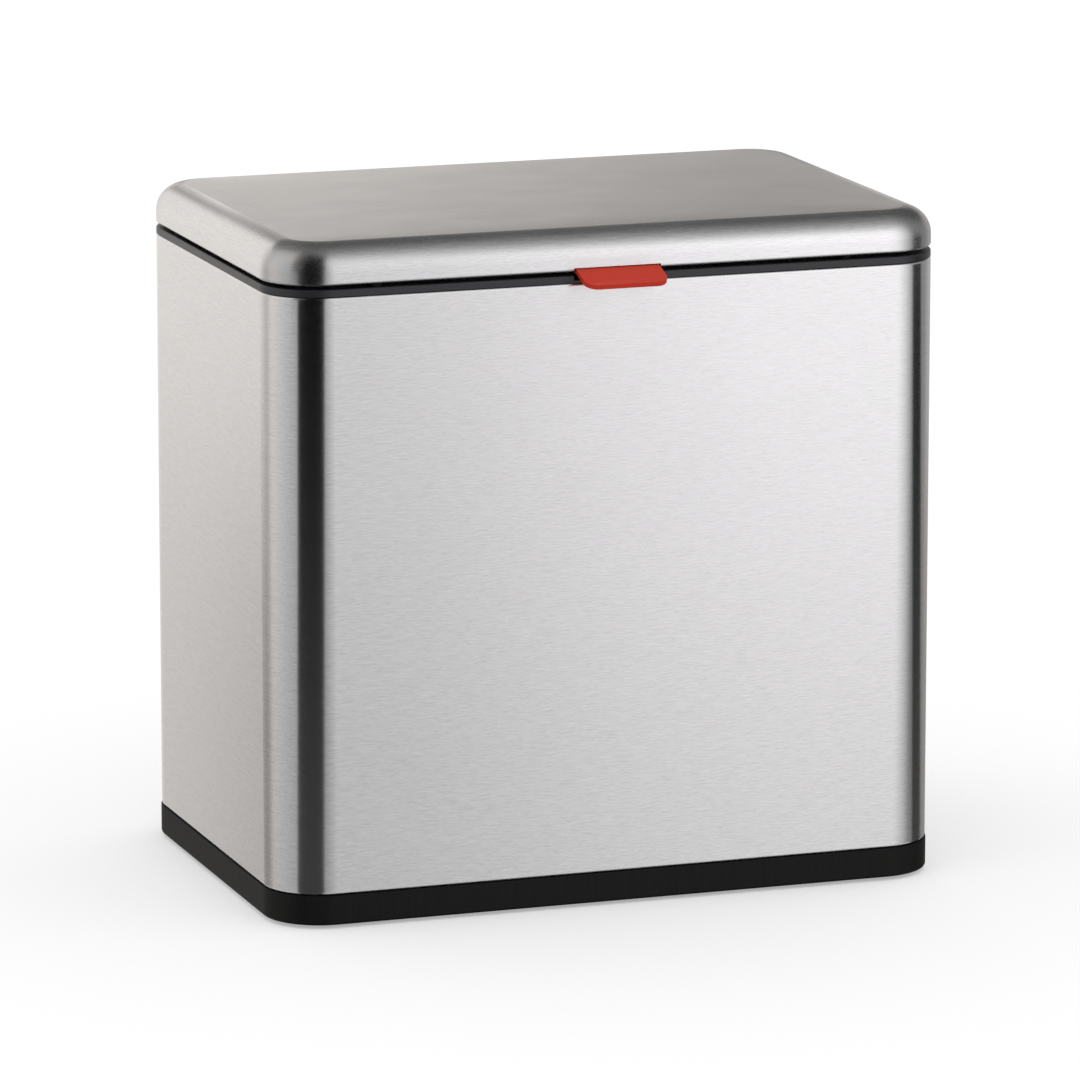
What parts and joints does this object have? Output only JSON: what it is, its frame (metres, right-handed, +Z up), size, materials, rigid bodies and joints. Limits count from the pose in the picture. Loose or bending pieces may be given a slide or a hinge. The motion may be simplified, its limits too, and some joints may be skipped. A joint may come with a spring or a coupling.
{
  "type": "countertop kitchen bin",
  "caption": "Rectangular brushed steel countertop bin with rounded corners, a sprung hinged lid, a red press tab and a lift-out inner bucket.",
  "frame": {"origin": "on the standing surface, under the middle of the steel wrap", "axes": "+X along the width to the right as seen from the front, -Y towards the front with the red tab, +Z up"},
  "size_m": [0.3008, 0.2257, 0.2932],
  "materials": {
    "plinth_plastic": "fine moulded texture",
    "foot_rubber": "matt",
    "plinth_screw_steel": "zinc plated",
    "body_steel": "brushed along the width",
    "collar_plastic": "semi-gloss moulded",
    "striker_steel": "stamped",
    "striker_screw_steel": "zinc plated",
    "pin_steel": "drawn bar",
    "clip_steel": "blackened spring steel",
    "hinge_spring_steel": "spring wire",
    "lid_steel": "brushed and satin",
    "liner_plastic": "fine moulded texture",
    "arm_plastic": "glass-filled, matt",
    "arm_screw_steel": "zinc plated",
    "buffer_rubber": "matt",
    "latch_pin_steel": "drawn bar",
    "latch_spring_steel": "spring wire",
    "cover_plastic": "fine moulded texture",
    "cover_screw_steel": "zinc plated",
    "tab_plastic": "semi-gloss moulded",
    "bucket_plastic": "fine moulded texture"
  },
  "bodies": {
    "bin_body": {"plinth": "plinth_plastic", "feet": "foot_rubber", "plinth_screws": "plinth_screw_steel", "body_shell": "body_steel", "collar": "collar_plastic", "striker": "striker_steel", "striker_screws": "striker_screw_steel", "hinge_pins": "pin_steel", "pin_clips": "clip_steel", "hinge_springs": "hinge_spring_steel"},
    "lid": {"lid_shell": "lid_steel", "lid_liner": "liner_plastic", "hinge_arms": "arm_plastic", "arm_screws": "arm_screw_steel", "lid_buffers": "buffer_rubber", "latch_pin": "latch_pin_steel", "latch_spring": "latch_spring_steel", "latch_cover": "cover_plastic", "cover_screws": "cover_screw_steel"},
    "press_tab": {"push_tab": "tab_plastic"},
    "lift_out_bucket": {"bucket": "bucket_plastic"}
  },
  "joints": [
    {"name": "lid_hinge", "type": "hinge", "parent": "bin_body", "child": "lid", "pos_m": [0, 0.105, 0.273], "axis": [-1, 0, 0], "range_deg": [0, 85]},
    {"name": "tab_press", "type": "hinge", "parent": "lid", "child": "press_tab", "pos_m": [0, -0.087, 0.277], "axis": [1, 0, 0], "range_deg": [0, 9.5], "stiffness_Nm_per_rad": 0.05, "springref_deg": -5.73, "deforming": ["latch_spring"]},
    {"name": "bucket_lift", "type": "slide", "parent": "bin_body", "child": "lift_out_bucket", "axis": [0, 0, 1], "range_m": [0, 0.007]}
  ]
}
